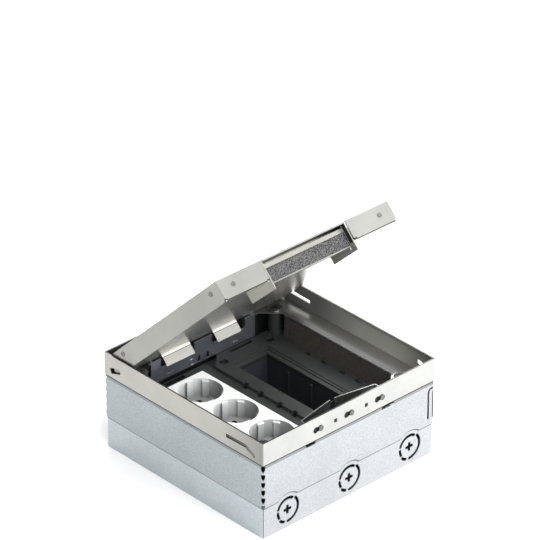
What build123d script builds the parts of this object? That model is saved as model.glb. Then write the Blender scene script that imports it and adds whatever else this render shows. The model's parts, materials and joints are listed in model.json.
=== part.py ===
from build123d import *
import math
import os

os.makedirs("parts", exist_ok=True)

# Floor socket box with its lid open. All sizes are in millimetres.
# Origin at the bottom centre, +Z up, the keyhole side faces -Y and the hinge side +Y.

# How far a cut reaches past the face it opens
overcut = 1.0

# Lower box
box_width = 197.8
box_sheet = 1.0
box_rim_drop = 5.4
box_corner_r = 1.5
corner_seam = 0.6
corner_relief = 3.8
knockout_z = 17.9
knockout_pitch = 71.2
knockout_inner_r = 10.9
knockout_outer_r = 12.0
knockout_slot = 2.8
inner_arcs = ((59.0, 162.0), (181.0, 210.0))
outer_arcs = ((228.0, 250.0), (272.0, 401.0))
cross_length = 8.8
cross_width = 2.9
fixing_pitch_x = 140.0
fixing_pitch_y = 120.0
fixing_hole_r = 3.25

# Height sleeve
slide_gap = 0.3
sleeve_sheet = 0.75
sleeve_bottom = 30.7
sleeve_seam = 0.6
weld_land = 14.0
bump_r = 17.0
nick_width = 3.3
nick_height = 6.0
nick_pitch = 7.66
nick_drop = 1.1
nick_barb = 0.7
nick_shoulder = 3.6
barb_drop = 1.05
barb_length = 2.8
hem_drop = 1.2
hem_groove = 0.4
hem_groove_depth = 0.25
top_slot_x = 46.0
top_slot_length = 10.8
top_slot_height = 2.2
strap_width = 7.7
strap_drop = 6.2
strap_rise = 6.0
strap_slit = 2.0
strap_bend_r = 3.5
strap_edge_inset = 2.0
strap_edge_slit = 1.9
strap_neck = 3.1

# Cassette frame
total_height = 95.0
frame_depth = 21.6
frame_overhang = 0.05
frame_sheet = 1.5
frame_corner_r = 0.8
ledge_sheet = 1.2
well_inset_x = 20.0
well_inset_y = 14.5
well_chamfer = 16.0
slot_width = 3.4
slot_path = ((44.0, 12.0), (20.0, 11.4), (8.2, 17.4))
vent_width = 5.2
vent_path = ((19.0, 11.4), (7.0, 15.2))
keyhole_drop = 12.0
keyhole_pitch = 35.6
keyhole_x = -4.3
keyhole_r = 2.9
stud_offset = 5.5
stud_neck_r = 1.7
stud_head_r = 2.6
stud_head_height = 0.9
lug_offset = 22.8
lug_shift = 0.6
lug_width = 1.6
lug_height = 2.4
lug_slot = (3.4, 3.6)
lug_reach = 1.2

# Hinge plate
hinge_plate_inset = 14.2
hinge_plate_sheet = 1.2
hinge_plate_margin = 18.0
hinge_plate_drop = 21.8
notch_inner = 10.2
notch_outer = 49.2
notch_depth = 9.1
notch_flare = 2.5
lock_slot_x = 5.0
lock_slot_drop = 18.0
lock_slot_size = (2.6, 6.4)
lock_pip_r = 0.8
lance_x = 38.0
lance_drop = 17.8
lance_size = (7.0, 1.2)
boss_x = -13.6
boss_r = 3.2
boss_bore_r = 2.5
boss_height = 0.4
ear_width = 11.5
ear_overlap = 3.0
ear_length = 10.7
ear_rivet_out = 4.25
ear_rivet_in = 5.5
rivet_r = 1.3
rivet_foot_r = 2.6
rivet_foot_height = 0.84

# Lid and its hinge axis
lid_open_angle = 44.5
hinge_inset = 8.5
hinge_drop = 5.0
stud_r = 2.0
stud_reach = 3.8
running_gap = 0.08
lid_side_gap = 0.6
lid_front_gap = 0.8
lid_back_gap = 2.5
lid_sheet = 1.2
lid_depth = 18.8
lid_sink = 15.0
base_plate_sheet = 1.0
rib_width = 8.0
rib_pitch = 60.0
side_rib_pitch = 72.0
tab_drop = 10.3
tab_flange = 3.8
tab_kick = 0.5
tab_sheet = 0.8
left_tab = (-48.2, -16.1)
right_tab = (10.8, 38.1)
relief_width = 2.2
relief_height = 2.0
relief_depth = 2.4

# Cord outlet in the lid
outlet_half = 48.3
outlet_reach = 40.7
cheek_half = 47.5
cheek_sheet = 1.0
cheek_inset = 0.7
cheek_drop = 26.8
cheek_rear_drop = 26.2
cheek_hole_inset = 8.9
cheek_hole_r = 1.0
cheek_tail = 1.0
cheek_top_drop = 0.4
flap_gap = 0.3
flap_stop = 2.0
flap_stop_length = 5.0
flap_stop_inset = 25.7
flap_sheet = 1.6
flap_inset = 0.5
flap_pin_offset = 1.8
flap_pin_drop = 2.2
flap_pin_r = 1.0
flap_pin_inset = 0.2
flap_tongue = 1.2
knuckle_r = 1.8
knuckle_length = 6.0
foam_inset = 5.2
foam_depth = 4.0
foam_bottom_drop = 20.6
foam_top_drop = 7.7
bar_drop = 4.0
lip_height = 0.8
foam_side = 0.9

# Brackets and rivets of the lid
bracket_leg = 22.0
bracket_sheet = 1.0
bracket_drop = 3.5
doubler_length = 6.0
doubler_drop = 1.0
front_rivet_inset = 14.4
front_rivet_drop = 8.2
side_rivet_inset = 15.0
side_rivet_drop = 6.5
rear_rivet_inset = 17.3
rear_rivet_drop = 5.4
rivet_head_r = 2.3
rivet_head_height = 0.4
rivet_dish_r = 1.4
rivet_dish_depth = 0.25
recess_length = 3.0
recess_width = 0.7
recess_turn = 25.0

# Device insert
insert_gap = 0.4
insert_bottom = 45.3
insert_low_top = 48.3
insert_top = 51.3
insert_margin = 12.4
insert_wall_gap = 0.5
insert_wall = 1.5
insert_wall_margin = 17.9
post_top_gap = 1.2
front_wall_drop = 7.4
front_wall_margin = 17.5
step_x = 0.6
step_chamfer = 14.5
post_inset_x = 19.7
post_inset_y = 20.3
post_r = 6.0
sleeve_bore_r = 4.6
brass_length = 12.0
bay_left = 16.4
bay_right = 50.3
bay_half_y = 57.2
bay_steps = ((14.8, 57.5, 65.0, 0.7), (15.6, 55.2, 62.4, 1.6))
insert_screw_x = (11.6, 66.3)
insert_screw_inset = 12.8
insert_screw_r = 4.2
insert_screw_depth = 2.6
screw_shank_r = 1.5
screw_head_r = 3.0
screw_head_height = 1.2
insert_column_r = 5.7
latch_notch = 5.0
latch_notch_y = (31.0, 12.0)
edge_notch_inset = 4.5
edge_notch_length = 6.0
edge_notch_width = 2.8
edge_notch_depth = 4.0
pair_x = 13.4
pair_y = (46.0, 0.6)
pair_gap = 4.4
pair_r = 0.8
pair_depth = 3.0
back_slot_x = 39.2
back_slot_length = 26.0
back_slot_width = 4.8
back_slot_rim = 1.1

# Levelling screws
level_screw_r = 3.0
level_hole_r = 3.3
level_head_r = 4.9
level_head_height = 0.8
level_hex = 4.0
collar_r = 7.3
collar_inner_r = 5.3
collar_rim_r = 6.4
collar_sheet = 0.4
collar_rim_height = 1.0
clip_r = 4.6
clip_height = 0.5
clip_gap = 0.3
level_socket_depth = 3.0
level_screw_bottom = 42.0

# Data bay tray
tray_wall = 1.2
tray_floor = 14.0
tray_rib = 1.5
tray_rib_depth = 2.0

# Socket strip
module = 45.0
module_gap = 0.2
strip_inset = 59.0
strip_top = 55.5
strip_skirt = 49.5
module_count = 3
body_width = 41.5
body_bottom = 20.0
cup_r = 19.65
cup_depth = 17.5
socket_turn = 57.0
pin_hole_pitch = 19.0
pin_hole_r = 2.5
pin_hole_depth = 2.0
rib_side = 5.6
rib_gap = 8.0
rib_reach = 3.2
rib_drop = 1.5
clip_pocket_width = 6.0
clip_pocket_depth = 3.0
clip_pocket_drop = 1.2
clip_path = ((1.6, 0.1), (1.6, 6.0), (-1.4, 11.0), (1.0, 14.6))
clip_width = 4.2
clip_sheet = 0.8
contact_r = 3.0
contact_bore_r = 2.3
contact_gap = 0.1
contact_length = 13.0
carrier_flange = 2.4
carrier_gap = 0.3
carrier_end = 1.5
terminal_size = (30.0, 13.0, 8.0)
terminal_pitch = 9.0
terminal_hole_r = 1.8
terminal_hole_depth = 2.5
earth_inset = 27.9
earth_y = -30.0
earth_r = 2.0
earth_height = 14.0
earth_foot_r = 4.0
earth_foot_height = 1.0
earth_nut_r = 3.5
earth_nut_height = 3.2

# Cord guard
guard_sheet = 0.8
guard_half = 42.0
guard_bottom_drop = 19.0
guard_top_drop = 7.0
guard_arm_half = 5.2
guard_arm_drop = 2.1
guard_arm_top_drop = 12.5
guard_reach = 22.4
wing_bottom_drop = 19.5
wing_top_drop = 9.5
wing_gap = 2.5
wing_flat = 5.0
wing_half = 43.0
wing_rise = 7.3
wing_clearance = 0.4
wing_bend_r = 2.0

# Sizes that follow from the ones above
box_half = box_width / 2
box_in_half = box_half - box_sheet
sleeve_in_half = box_half + slide_gap
sleeve_half = sleeve_in_half + sleeve_sheet
frame_half = sleeve_half + frame_overhang
frame_in_half = frame_half - frame_sheet
frame_bottom = total_height - frame_depth
ledge_top = frame_bottom + ledge_sheet
sleeve_top = frame_bottom - sleeve_seam
box_wall_top = frame_bottom - box_rim_drop
well_half_x = frame_in_half - well_inset_x
well_half_y = frame_in_half - well_inset_y
keyhole_z = total_height - keyhole_drop
stud_x = keyhole_x + stud_offset
hinge_y = frame_in_half - hinge_inset
hinge_z = total_height - hinge_drop
hinge_plate_y = frame_in_half - hinge_plate_inset
hinge_plate_half = well_half_x - hinge_plate_margin
hinge_plate_bottom = frame_bottom - hinge_plate_drop
notch_bottom = frame_bottom - notch_depth
ear_rivets = [(side * (hinge_plate_half + ear_rivet_out), hinge_plate_y + ear_rivet_in) for side in (-1, 1)]
lid_half = frame_in_half - lid_side_gap
lid_front = frame_in_half - lid_front_gap
lid_back = frame_in_half - lid_back_gap
lid_bottom = total_height - lid_depth
relief_xs = (-lid_half, -outlet_half - relief_width / 2, outlet_half + relief_width / 2, lid_half)
lid_floor_top = total_height - lid_sink
base_plate_top = lid_bottom + base_plate_sheet
bracket_top = total_height - bracket_drop
front_rivet_x = lid_half - front_rivet_inset
side_rivet_y = -lid_front + side_rivet_inset
rear_rivet_y = hinge_y - rear_rivet_inset
outlet_back = lid_front - outlet_reach
cheek_front = lid_front - cheek_inset
cheek_bottom = total_height - cheek_drop
flap_half = cheek_half - cheek_sheet - flap_gap
flap_pin_half = cheek_half - flap_pin_inset
flap_front = lid_front - flap_inset
flap_pin_y = outlet_back + flap_pin_offset
flap_pin_z = total_height - flap_pin_drop
flap_stop_y = lid_front - flap_stop_inset
foam_front = lid_front - foam_inset
foam_back = foam_front - foam_depth
foam_bottom = total_height - foam_bottom_drop
foam_top = total_height - foam_top_drop
bar_top = total_height - bar_drop
guard_face = frame_in_half
guard_end = guard_face - guard_reach
guard_bottom = total_height - guard_bottom_drop
guard_top = total_height - guard_top_drop
guard_arm_z = frame_bottom - guard_arm_drop
wing_bottom = total_height - wing_bottom_drop
wing_top = total_height - wing_top_drop
wing_return = foam_back - wing_clearance - guard_end - guard_sheet / 2 - wing_rise
insert_half_x = box_in_half - insert_margin
insert_half_y = hinge_plate_y - insert_gap
insert_wall_x = well_half_x + insert_wall_gap
insert_wall_half = insert_half_y - insert_wall_margin
insert_wall_top = frame_bottom - post_top_gap
front_wall_top = frame_bottom - front_wall_drop
front_wall_half = well_half_x - front_wall_margin
post_x = frame_in_half - post_inset_x
post_y = frame_in_half - post_inset_y
insert_screw_y = insert_half_y - insert_screw_inset
edge_notch_x = insert_wall_x - edge_notch_inset
strip_x = strip_inset - box_in_half
strip_length = module * module_count
cup_floor = strip_top - cup_depth
earth_x = box_in_half - earth_inset
hinge_axis = Axis((0, hinge_y, hinge_z), (1, 0, 0))


def plane_y(y):
    """Upright plane at this y, facing -Y, with local axes along X and Z."""
    return Plane.XZ.offset(-y)


def plane_x(x):
    """Upright plane at this x, facing +X, with local axes along Y and Z."""
    return Plane.YZ.offset(x)


def corner_plane(sx, sy, half):
    """Upright plane across the corner at (sx, sy), facing outwards, with local axes along the corner and Z."""
    return Plane(origin=(sx * half, sy * half, 0), x_dir=(-sy, sx, 0), z_dir=(sx, sy, 0))


def box_between(low, high, mode=Mode.ADD):
    """Box that spans two opposite corners, in the current part."""
    size = [b - a for a, b in zip(low, high)]
    centre = [(a + b) / 2 for a, b in zip(low, high)]
    with Locations(tuple(centre)):
        Box(*size, mode=mode)


def rod(centre, radius, low_z, high_z, mode=Mode.ADD):
    """Upright cylinder from low_z to high_z, in the current part."""
    with Locations((centre[0], centre[1], low_z)):
        Cylinder(radius, high_z - low_z, align=(Align.CENTER, Align.CENTER, Align.MIN), mode=mode)


def swing_open(piece):
    """Turn a piece modelled on the closed lid to the open rest angle."""
    return piece.rotate(hinge_axis, -lid_open_angle)


def finish(piece, name):
    piece.part.label = name
    export_step(piece.part, "parts/" + name + ".step")


# Base box with its knockouts, fixing holes and open top
with BuildPart() as base_box:
    with BuildSketch(Plane.XY):
        RectangleRounded(box_width, box_width, box_corner_r)
    extrude(amount=box_wall_top)
    with BuildSketch(Plane.XY.offset(box_sheet)):
        RectangleRounded(2 * box_in_half, 2 * box_in_half, box_corner_r - box_sheet)
    extrude(amount=box_wall_top, mode=Mode.SUBTRACT)
    for side in (-1, 1):
        with BuildSketch(plane_y(side * (box_half - box_sheet / 2))):
            with GridLocations(knockout_pitch, 1, 3, 1):
                with Locations((0, knockout_z)):
                    for radius, arcs in ((knockout_inner_r, inner_arcs), (knockout_outer_r, outer_arcs)):
                        for first, last in arcs:
                            SlotArc(Edge.make_circle(radius, start_angle=first, end_angle=last), knockout_slot)
                    Rectangle(cross_length, cross_width)
                    Rectangle(cross_width, cross_length)
        extrude(amount=box_sheet, both=True, mode=Mode.SUBTRACT)
    with BuildSketch(Plane.XY):
        with GridLocations(fixing_pitch_x, fixing_pitch_y, 2, 2):
            Circle(fixing_hole_r)
    extrude(amount=box_sheet, mode=Mode.SUBTRACT)
    # Open seams at three corners, wider where the sleeve covers them
    for sx, sy in ((-1, -1), (-1, 1), (1, 1)):
        with BuildSketch(corner_plane(sx, sy, box_half)):
            with Locations((0, box_sheet)):
                Rectangle(corner_seam, total_height, align=(Align.CENTER, Align.MIN))
            with Locations((0, sleeve_bottom + box_sheet)):
                Rectangle(corner_relief, total_height, align=(Align.CENTER, Align.MIN))
        extrude(amount=-corner_relief - 2 * box_sheet, mode=Mode.SUBTRACT)
    # Relief behind the sleeve's strap at the fourth corner
    box_between(
        (sleeve_half - strap_width - strap_slit, -sleeve_half, sleeve_bottom + strap_rise - strap_slit),
        (sleeve_half, -sleeve_half + strap_width, total_height),
        mode=Mode.SUBTRACT,
    )

# Height sleeve: a square tube that slides over the base box
with BuildPart() as height_sleeve:
    with BuildSketch(Plane.XY.offset(sleeve_bottom)):
        RectangleRounded(2 * sleeve_half, 2 * sleeve_half, box_corner_r + slide_gap + sleeve_sheet)
        RectangleRounded(2 * sleeve_in_half, 2 * sleeve_in_half, box_corner_r + slide_gap, mode=Mode.SUBTRACT)
    extrude(amount=frame_bottom - sleeve_bottom)
    # Top edge below the frame, with a raised weld land at the middle of each wall
    with BuildSketch(Plane.XY.offset(sleeve_top)):
        Rectangle(3 * sleeve_half, 3 * sleeve_half)
        Rectangle(weld_land, 3 * sleeve_half, mode=Mode.SUBTRACT)
        Rectangle(3 * sleeve_half, weld_land, mode=Mode.SUBTRACT)
    extrude(amount=sleeve_seam, mode=Mode.SUBTRACT)
    for side in (-1, 1):
        with BuildSketch(plane_y(side * (sleeve_half - sleeve_sheet / 2))):
            with GridLocations(knockout_pitch, 1, 3, 1):
                with Locations((0, knockout_z)):
                    Circle(bump_r)
            with Locations((-top_slot_x, sleeve_top), (top_slot_x, sleeve_top)):
                Rectangle(top_slot_length, 2 * top_slot_height)
        extrude(amount=sleeve_sheet, both=True, mode=Mode.SUBTRACT)
    # Nicks in three corner bends, each with a point at its lower end, and a barbed one at the top
    nick_top = sleeve_top - nick_drop
    nick_count = 1 + int((nick_top - sleeve_bottom) / nick_pitch)
    for sx, sy in ((-1, -1), (-1, 1), (1, 1)):
        with BuildSketch(corner_plane(sx, sy, sleeve_half)):
            for i in range(nick_count):
                top = nick_top - i * nick_pitch
                with BuildLine():
                    Polyline(
                        (-nick_width / 2, top),
                        (nick_width / 2, top),
                        (nick_width / 2, top - nick_shoulder),
                        (0, top - nick_height),
                        (-nick_width / 2, top - nick_shoulder),
                        close=True,
                    )
                make_face()
            with BuildLine():
                Polyline(
                    (0, sleeve_top + sleeve_seam),
                    (nick_width / 2 + nick_barb, nick_top - barb_drop),
                    (0, nick_top - barb_length),
                    (-nick_width / 2 - nick_barb, nick_top - barb_drop),
                    close=True,
                )
            make_face()
        extrude(amount=-3 * (box_corner_r + sleeve_sheet), mode=Mode.SUBTRACT)
    # Slits round the closing strap at the fourth corner
    strap_x = sleeve_half - strap_width
    strap_edge_x = sleeve_half - strap_edge_inset
    strap_top = sleeve_top - strap_drop
    strap_bottom = sleeve_bottom + strap_rise
    with BuildSketch(plane_y(-sleeve_half)):
        with BuildLine():
            FilletPolyline(
                (strap_edge_x, strap_top),
                (strap_x, strap_top),
                (strap_x, strap_bottom),
                radius=strap_bend_r,
            )
        trace(line_width=strap_slit)
        with Locations((strap_edge_x, (strap_top - strap_neck + strap_bottom) / 2)):
            SlotOverall(strap_top - strap_neck - strap_bottom, strap_edge_slit, rotation=90)
    extrude(amount=-(box_corner_r + slide_gap + sleeve_sheet), mode=Mode.SUBTRACT)
    # Shallow groove under the folded top hem
    with BuildSketch(Plane.XY.offset(sleeve_top - hem_drop - hem_groove)):
        Rectangle(3 * sleeve_half, 3 * sleeve_half)
        groove_half = sleeve_half - hem_groove_depth
        groove_r = box_corner_r + slide_gap + sleeve_sheet
        RectangleRounded(2 * groove_half, 2 * groove_half, groove_r, mode=Mode.SUBTRACT)
    extrude(amount=hem_groove, mode=Mode.SUBTRACT)

# Cassette frame: four walls, side ledges and corner ledges round an open well
with BuildPart() as cassette_frame:
    with BuildSketch(Plane.XY.offset(frame_bottom)):
        RectangleRounded(2 * frame_half, 2 * frame_half, frame_corner_r)
    extrude(amount=total_height - frame_bottom)
    with BuildSketch(Plane.XY.offset(ledge_top)):
        Rectangle(2 * frame_in_half, 2 * frame_in_half)
    extrude(amount=total_height, mode=Mode.SUBTRACT)
    with BuildSketch(Plane.XY.offset(frame_bottom)):
        with BuildLine():
            Polyline(
                (well_half_x, -well_half_y + well_chamfer),
                (well_half_x, well_half_y - well_chamfer),
                (well_half_x - well_chamfer, well_half_y),
                (-well_half_x + well_chamfer, well_half_y),
                (-well_half_x, well_half_y - well_chamfer),
                (-well_half_x, -well_half_y + well_chamfer),
                (-well_half_x + well_chamfer, -well_half_y),
                (well_half_x - well_chamfer, -well_half_y),
                close=True,
            )
        make_face()
        Rectangle(2 * hinge_plate_half, 2 * frame_in_half)
        with GridLocations(2 * post_x, 2 * post_y, 2, 2):
            Circle(level_hole_r)
        with Locations(*ear_rivets):
            Circle(rivet_r)
    extrude(amount=ledge_sheet, mode=Mode.SUBTRACT)
    # Dog-leg slot and vent of one side wall, and the same turned half round on the other
    for side in (-1, 1):
        with BuildSketch(plane_x(side * (frame_half - frame_sheet / 2))):
            with BuildLine():
                Polyline(*[(side * (frame_in_half - inset), total_height - drop) for inset, drop in slot_path])
            trace(line_width=slot_width)
            with BuildLine():
                Polyline(*[(-side * (frame_in_half - inset), total_height - drop) for inset, drop in vent_path])
            trace(line_width=vent_width)
        extrude(amount=frame_sheet, both=True, mode=Mode.SUBTRACT)
    # Keyholes, with a small lug hole between each pair
    with BuildSketch(plane_y(-(frame_half - frame_sheet / 2))):
        for i in (-1, 0, 1):
            with Locations((keyhole_x + i * keyhole_pitch, keyhole_z)):
                Circle(keyhole_r)
            with Locations((keyhole_x + i * keyhole_pitch + stud_offset / 2, keyhole_z)):
                Rectangle(stud_offset, 2 * (stud_neck_r + flap_gap))
            with Locations((stud_x + i * keyhole_pitch, keyhole_z)):
                Circle(stud_neck_r + flap_gap)
        with Locations(*[(keyhole_x + i * keyhole_pitch + lug_offset, keyhole_z) for i in (-1, 0)]):
            Rectangle(*lug_slot)
    extrude(amount=frame_sheet, both=True, mode=Mode.SUBTRACT)

# Toothed hinge plate hung under the rear corner ledges by two ears
with BuildPart() as hinge_plate:
    with BuildSketch(plane_y(hinge_plate_y)):
        with Locations((0, (frame_bottom + hinge_plate_bottom) / 2)):
            Rectangle(2 * hinge_plate_half, frame_bottom - hinge_plate_bottom)
        for side in (-1, 1):
            with BuildLine():
                Polyline(
                    (side * notch_inner, frame_bottom + overcut),
                    (side * notch_inner, notch_bottom + notch_flare),
                    (side * (notch_inner + notch_flare), notch_bottom),
                    (side * (notch_outer - notch_flare), notch_bottom),
                    (side * notch_outer, notch_bottom + notch_flare),
                    (side * notch_outer, frame_bottom + overcut),
                    close=True,
                )
            make_face(mode=Mode.SUBTRACT)
        lock_z = frame_bottom - lock_slot_drop
        with Locations((-lock_slot_x, lock_z), (lock_slot_x, lock_z)):
            Rectangle(*lock_slot_size, mode=Mode.SUBTRACT)
        with Locations((0, lock_z)):
            Circle(lock_pip_r, mode=Mode.SUBTRACT)
        with Locations((-lance_x, frame_bottom - lance_drop), (lance_x, frame_bottom - lance_drop)):
            Rectangle(*lance_size, mode=Mode.SUBTRACT)
    extrude(amount=-hinge_plate_sheet)
    with BuildSketch(plane_y(hinge_plate_y)):
        with Locations((boss_x, lock_z)):
            Circle(boss_r)
            Circle(boss_bore_r, mode=Mode.SUBTRACT)
    extrude(amount=boss_height)
    for side in (-1, 1):
        ear_start = side * (hinge_plate_half - ear_overlap)
        ear_end = ear_start + side * ear_width
        box_between(
            (min(ear_start, ear_end), hinge_plate_y, frame_bottom - ledge_sheet),
            (max(ear_start, ear_end), hinge_plate_y + ear_length, frame_bottom),
        )
    for place in ear_rivets:
        rod(place, rivet_r, frame_bottom - 2 * ledge_sheet, frame_bottom, mode=Mode.SUBTRACT)

# Rivets through the ears and the ledge, flush on top
with BuildPart() as hinge_rivets:
    for place in ear_rivets:
        rod(place, rivet_r, frame_bottom - ledge_sheet, ledge_top)
        rod(place, rivet_foot_r, frame_bottom - ledge_sheet - rivet_foot_height, frame_bottom - ledge_sheet)

# Hinge studs, welded to the inside of the side walls
with BuildPart() as hinge_studs:
    for side in (-1, 1):
        stud_origin = (side * frame_in_half, hinge_y, hinge_z)
        stud_plane = Plane(origin=stud_origin, x_dir=(0, 1, 0), z_dir=(-side, 0, 0))
        with BuildSketch(stud_plane):
            Circle(stud_r)
        extrude(amount=stud_reach)

# Lid tray, modelled closed: four walls and a sunken floor with the cord outlet cut out
with BuildPart() as lid_tray:
    box_between((-lid_half, -lid_front, lid_bottom), (lid_half, lid_back, total_height))
    box_between(
        (-lid_half + lid_sheet, -lid_front + lid_sheet, lid_floor_top),
        (lid_half - lid_sheet, lid_back - lid_sheet, total_height + overcut),
        mode=Mode.SUBTRACT,
    )
    box_between(
        (-lid_half + lid_sheet, -lid_front + lid_sheet, lid_bottom - overcut),
        (lid_half - lid_sheet, lid_back - lid_sheet, lid_floor_top - lid_sheet),
        mode=Mode.SUBTRACT,
    )
    box_between(
        (-lid_half + lid_sheet, -lid_front + lid_sheet, lid_bottom - overcut),
        (lid_half - lid_sheet, lid_back + overcut, base_plate_top),
        mode=Mode.SUBTRACT,
    )
    box_between(
        (-outlet_half, -lid_front - overcut, lid_bottom - overcut),
        (outlet_half, -lid_front + 2 * lid_sheet, total_height + overcut),
        mode=Mode.SUBTRACT,
    )
    box_between(
        (-cheek_half, -lid_front - overcut, lid_bottom - overcut),
        (cheek_half, -outlet_back, total_height + overcut),
        mode=Mode.SUBTRACT,
    )
    # Corner reliefs at the foot of the front wall
    for x in relief_xs:
        box_between(
            (x - relief_width, -lid_front - overcut, lid_bottom - overcut),
            (x + relief_width, -lid_front + relief_depth, lid_bottom + relief_height),
            mode=Mode.SUBTRACT,
        )
    # Holes for the hinge studs
    with BuildSketch(plane_x(0)):
        with Locations((hinge_y, hinge_z)):
            Circle(stud_r + running_gap)
    extrude(amount=frame_half, both=True, mode=Mode.SUBTRACT)
lid_tray.part = swing_open(lid_tray.part)

# Lid base plate with its two hanging tabs and ribs pressed up against the tray floor
with BuildPart() as lid_base_plate:
    plate_half = lid_half - lid_sheet
    box_between((-plate_half, -lid_front + lid_sheet, lid_bottom), (plate_half, lid_back, base_plate_top))
    tab_y = lid_back - tab_sheet / 2
    for tab in (left_tab, right_tab):
        with BuildSketch(plane_x((tab[0] + tab[1]) / 2)):
            with BuildLine():
                Polyline(
                    (tab_y, lid_bottom + base_plate_sheet / 2),
                    (tab_y, lid_bottom - tab_drop + tab_flange),
                    (tab_y + tab_kick, lid_bottom - tab_drop),
                )
            trace(line_width=tab_sheet)
        extrude(amount=(tab[1] - tab[0]) / 2, both=True)
    for i in (-1, 0, 1):
        box_between(
            (i * rib_pitch - rib_width / 2, -outlet_back + 2 * rib_width, base_plate_top),
            (i * rib_pitch + rib_width / 2, lid_back - 2 * rib_width, lid_floor_top - lid_sheet),
        )
    for i in (-1, 1):
        box_between(
            (i * side_rib_pitch - rib_width / 2, -lid_front + 2 * rib_width, base_plate_top),
            (i * side_rib_pitch + rib_width / 2, -outlet_back, lid_floor_top - lid_sheet),
        )
    box_between(
        (-cheek_half, -lid_front - overcut, lid_bottom - overcut),
        (cheek_half, -outlet_back, lid_floor_top),
        mode=Mode.SUBTRACT,
    )
    for x in relief_xs:
        box_between(
            (x - relief_width, -lid_front - overcut, lid_bottom - overcut),
            (x + relief_width, -lid_front + relief_depth, lid_bottom + relief_height),
            mode=Mode.SUBTRACT,
        )
lid_base_plate.part = swing_open(lid_base_plate.part)

# Corner brackets inside the lid tray, behind the front rivets
with BuildPart() as lid_brackets:
    for side in (-1, 1):
        outer_x = side * (lid_half - lid_sheet)
        inner_x = outer_x - side * bracket_sheet
        end_x = outer_x - side * bracket_leg
        front_y = -lid_front + lid_sheet
        box_between(
            (min(outer_x, inner_x), front_y, lid_floor_top),
            (max(outer_x, inner_x), front_y + bracket_leg, bracket_top),
        )
        box_between(
            (min(outer_x, end_x), front_y, lid_floor_top),
            (max(outer_x, end_x), front_y + bracket_sheet, bracket_top),
        )
lid_brackets.part = swing_open(lid_brackets.part)

# Doubler plates inside the side walls at the hinge
with BuildPart() as hinge_doublers:
    for side in (-1, 1):
        outer_x = side * (lid_half - lid_sheet)
        inner_x = outer_x - side * bracket_sheet
        box_between(
            (min(outer_x, inner_x), rear_rivet_y - doubler_length, lid_floor_top),
            (max(outer_x, inner_x), lid_back - lid_sheet, total_height - doubler_drop),
        )
    with BuildSketch(plane_x(0)):
        with Locations((hinge_y, hinge_z)):
            Circle(stud_r + running_gap)
    extrude(amount=frame_half, both=True, mode=Mode.SUBTRACT)
hinge_doublers.part = swing_open(hinge_doublers.part)

# Rivet heads on the lid's front and side walls
with BuildPart() as lid_rivets:
    with BuildSketch(plane_y(-lid_front)):
        front_rivet_z = total_height - front_rivet_drop
        with Locations((-front_rivet_x, front_rivet_z), (front_rivet_x, front_rivet_z)):
            Circle(rivet_head_r)
    extrude(amount=rivet_head_height)
    with BuildSketch(plane_y(-lid_front - rivet_head_height)):
        for x in (-front_rivet_x, front_rivet_x):
            with Locations((x, front_rivet_z)):
                Rectangle(recess_length, recess_width, rotation=recess_turn)
                Rectangle(recess_width, recess_length, rotation=recess_turn)
    extrude(amount=-rivet_dish_depth, mode=Mode.SUBTRACT)
    for side in (-1, 1):
        rivet_places = (
            (side * side_rivet_y, total_height - side_rivet_drop),
            (side * rear_rivet_y, total_height - rear_rivet_drop),
        )
        face = Plane(origin=(side * lid_half, 0, 0), x_dir=(0, side, 0), z_dir=(side, 0, 0))
        with BuildSketch(face):
            with Locations(*rivet_places):
                Circle(rivet_head_r)
        extrude(amount=rivet_head_height)
        with BuildSketch(face.offset(rivet_head_height)):
            with Locations(*rivet_places):
                Circle(rivet_dish_r)
        extrude(amount=-rivet_dish_depth, mode=Mode.SUBTRACT)
lid_rivets.part = swing_open(lid_rivets.part)

# Cord outlet bracket: two cheeks and a cross wall behind the flap
with BuildPart() as outlet_bracket:
    for side in (-1, 1):
        with BuildSketch(plane_x(side * (cheek_half - cheek_sheet / 2))):
            with BuildLine():
                Polyline(
                    (-cheek_front, cheek_bottom),
                    (-outlet_back - cheek_tail, total_height - cheek_rear_drop),
                    (-outlet_back - cheek_tail, lid_bottom),
                    (-outlet_back, lid_bottom),
                    (-outlet_back, total_height - cheek_top_drop),
                    (-cheek_front, total_height - cheek_top_drop),
                    close=True,
                )
            make_face()
            with Locations((cheek_hole_inset - lid_front, (lid_bottom + cheek_bottom) / 2)):
                Circle(cheek_hole_r, mode=Mode.SUBTRACT)
            with Locations((-flap_pin_y, flap_pin_z)):
                Circle(flap_pin_r + running_gap, mode=Mode.SUBTRACT)
        extrude(amount=cheek_sheet / 2, both=True)
    box_between(
        (-cheek_half, -outlet_back, lid_floor_top),
        (cheek_half, -outlet_back + cheek_sheet, flap_pin_z - knuckle_r),
    )
    # Stops that the closed flap rests on
    stop_top = total_height - flap_sheet - flap_gap
    for side in (-1, 1):
        low_x = min(side * cheek_half, side * (cheek_half - cheek_sheet - flap_stop))
        box_between(
            (low_x, -flap_stop_y - flap_stop_length, stop_top - cheek_sheet),
            (low_x + cheek_sheet + flap_stop, -flap_stop_y, stop_top),
        )
outlet_bracket.part = swing_open(outlet_bracket.part)

# Flap pin, fixed in the flap's knuckles and turning in the cheeks
with BuildPart() as flap_pin:
    with BuildSketch(plane_x(0)):
        with Locations((-flap_pin_y, flap_pin_z)):
            Circle(flap_pin_r)
    extrude(amount=flap_pin_half, both=True)
flap_pin.part = swing_open(flap_pin.part)

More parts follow.
